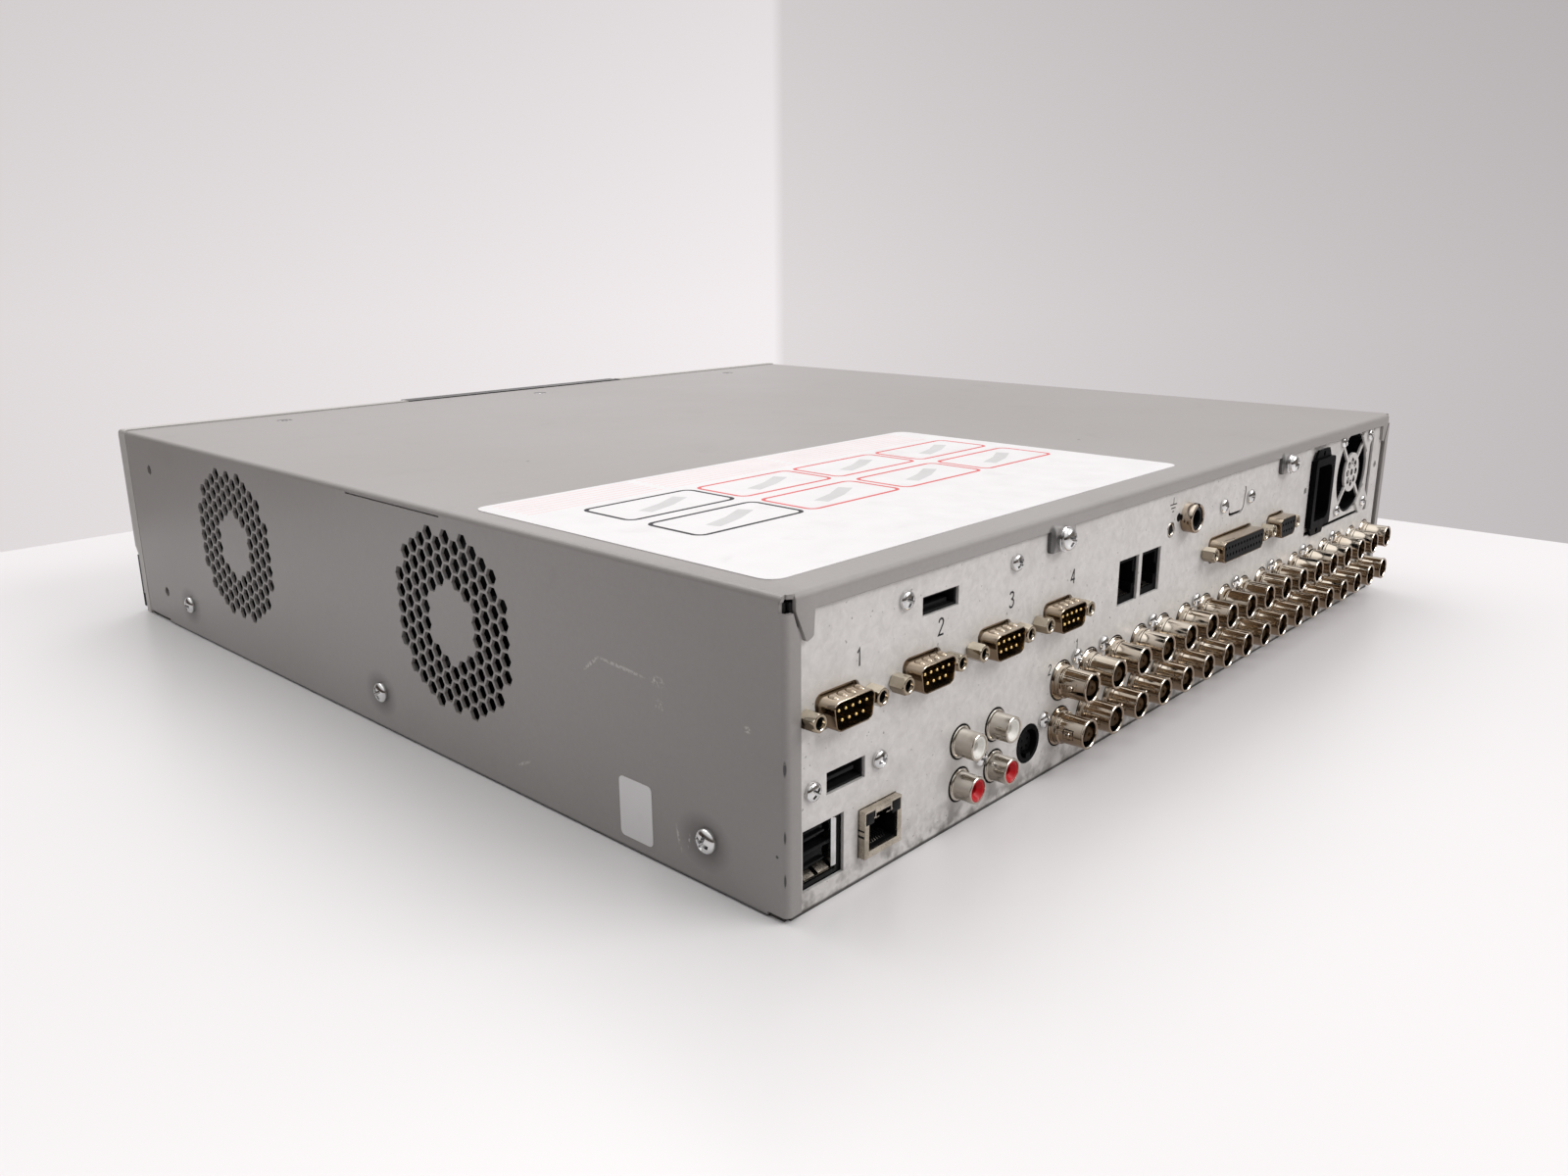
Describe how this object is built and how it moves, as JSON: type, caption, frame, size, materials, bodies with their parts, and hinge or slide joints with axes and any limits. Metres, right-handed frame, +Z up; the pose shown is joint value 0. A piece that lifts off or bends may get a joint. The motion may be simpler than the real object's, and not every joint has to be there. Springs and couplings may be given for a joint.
{
  "type": "video recorder",
  "caption": "Rack-width digital video recorder: steel case with perforated side vents, a rear panel of video, serial, audio and data sockets, and a front with disc drive, keys and jog dial.",
  "frame": {"origin": "centre of the flat underside that the recorder rests on, midway between the cover's sides and between its front edge and rear face", "axes": "+X to the recorder's right seen from the front, +Y to the rear panel, +Z up"},
  "size_m": [0.4432, 0.4458, 0.0885],
  "materials": {
    "cover_paint": "grey semi-matt powder coat on sheet steel",
    "galvanised": "galvanised sheet steel with a faint spangle",
    "plain_steel": "bright plated steel",
    "fascia_plastic": "light grey moulded plastic",
    "black_plastic": "black moulded plastic",
    "dark_plastic": "dark grey moulded plastic",
    "gloss_black": "glossy black moulded plastic",
    "key_plastic": "grey moulded plastic",
    "record_red": "red moulded plastic",
    "window": "smoked clear plastic",
    "display": "dark display glass on its board",
    "lens": "translucent light guide",
    "board": "green solder mask",
    "board_parts": "moulded chip packages and sleeves",
    "nickel": "bright nickel, warm reflections",
    "tarnished_nickel": "dull yellowish nickel",
    "zinc_screw": "bright zinc plate",
    "yellow_zinc": "yellow passivated zinc plate",
    "gold": "gold plate",
    "insulator": "off-white insulating plastic",
    "white_plastic": "white moulded plastic",
    "red_plastic": "red moulded plastic",
    "aluminium": "extruded aluminium",
    "drive_metal": "die-cast aluminium",
    "label": "white film",
    "cable": "flexible cable jacket"
  },
  "bodies": {
    "case": {"base_tray": "galvanised", "rear_panel": "galvanised", "top_cover": "cover_paint", "fascia": "fascia_plastic", "lower_trim": "black_plastic", "display_window": "window", "display_module": "display", "key_board": "board", "dial_encoder": "plain_steel", "indicator_lenses": "lens", "optical_drive": "plain_steel", "drive_bezel": "gloss_black", "drive_brackets": "galvanised", "drive_cages": "galvanised", "hard_drives": "drive_metal", "main_board": "board", "board_standoffs": "plain_steel", "heat_sink": "aluminium", "board_parts": "board_parts", "io_board": "board", "bnc_housings": "black_plastic", "bnc_barrels": "nickel", "bnc_insulators": "insulator", "bnc_contacts": "gold", "dsub_shells": "tarnished_nickel", "dsub_inserts": "black_plastic", "serial_pins": "gold", "jackscrews": "yellow_zinc", "usb_shells": "tarnished_nickel", "usb_tongues": "black_plastic", "network_shell": "tarnished_nickel", "network_insert": "black_plastic", "hdmi_esata_sockets": "dark_plastic", "keypad_sockets": "black_plastic", "phono_barrels": "nickel", "phono_white_inserts": "white_plastic", "phono_red_inserts": "red_plastic", "s_video_socket": "black_plastic", "ir_socket": "nickel", "psu_case": "galvanised", "mains_inlet": "gloss_black", "fan_frames": "black_plastic", "screws": "zinc_screw", "labels": "label", "drive_ribbon": "cable", "power_loom": "cable"},
    "front_flap": {"front_flap": "black_plastic"},
    "disc_tray": {"disc_tray": "gloss_black"},
    "eject_button": {"eject_button": "gloss_black"},
    "jog_dial": {"jog_dial": "key_plastic"},
    "shuttle_ring": {"shuttle_ring": "dark_plastic"},
    "play_key": {"play_key": "key_plastic"},
    "pause_key": {"pause_key": "key_plastic"},
    "stop_key": {"stop_key": "key_plastic"},
    "rewind_key": {"rewind_key": "key_plastic"},
    "forward_key": {"forward_key": "key_plastic"},
    "record_key": {"record_key": "record_red"},
    "psu_fan_rotor": {"psu_fan_rotor": "dark_plastic"},
    "front_side_fan_rotor": {"front_side_fan_rotor": "dark_plastic"},
    "rear_side_fan_rotor": {"rear_side_fan_rotor": "dark_plastic"}
  },
  "joints": [
    {"name": "flap_hinge", "type": "hinge", "parent": "case", "child": "front_flap", "pos_m": [0, -0.2153, 0.0066], "axis": [1, 0, 0], "range_deg": [0, 90]},
    {"name": "tray_slide", "type": "slide", "parent": "case", "child": "disc_tray", "axis": [0, -1, 0], "range_m": [0, 0.14]},
    {"name": "eject_press", "type": "slide", "parent": "case", "child": "eject_button", "axis": [0, 1, 0], "range_m": [0, 0.0008], "stiffness_N_per_m": 250},
    {"name": "play_press", "type": "slide", "parent": "case", "child": "play_key", "axis": [0, 1, 0], "range_m": [0, 0.001], "stiffness_N_per_m": 250},
    {"name": "pause_press", "type": "slide", "parent": "case", "child": "pause_key", "axis": [0, 1, 0], "range_m": [0, 0.001], "stiffness_N_per_m": 250},
    {"name": "stop_press", "type": "slide", "parent": "case", "child": "stop_key", "axis": [0, 1, 0], "range_m": [0, 0.001], "stiffness_N_per_m": 250},
    {"name": "rewind_press", "type": "slide", "parent": "case", "child": "rewind_key", "axis": [0, 1, 0], "range_m": [0, 0.001], "stiffness_N_per_m": 250},
    {"name": "forward_press", "type": "slide", "parent": "case", "child": "forward_key", "axis": [0, 1, 0], "range_m": [0, 0.001], "stiffness_N_per_m": 250},
    {"name": "record_press", "type": "slide", "parent": "case", "child": "record_key", "axis": [0, 1, 0], "range_m": [0, 0.001], "stiffness_N_per_m": 250},
    {"name": "jog_turn", "type": "hinge", "parent": "case", "child": "jog_dial", "pos_m": [0.178, -0.217, 0.058], "axis": [0, -1, 0], "continuous": true},
    {"name": "shuttle_turn", "type": "hinge", "parent": "case", "child": "shuttle_ring", "pos_m": [0.178, -0.217, 0.058], "axis": [0, -1, 0], "range_deg": [-75, 75], "stiffness_Nm_per_rad": 0.02},
    {"name": "psu_fan_spin", "type": "hinge", "parent": "case", "child": "psu_fan_rotor", "pos_m": [-0.177, 0.1958, 0.06425], "axis": [0, 1, 0], "continuous": true},
    {"name": "front_side_fan_spin", "type": "hinge", "parent": "case", "child": "front_side_fan_rotor", "pos_m": [0.2086, -0.102, 0.0506], "axis": [1, 0, 0], "continuous": true},
    {"name": "rear_side_fan_spin", "type": "hinge", "parent": "case", "child": "rear_side_fan_rotor", "pos_m": [0.2086, 0.06, 0.0506], "axis": [1, 0, 0], "continuous": true}
  ]
}
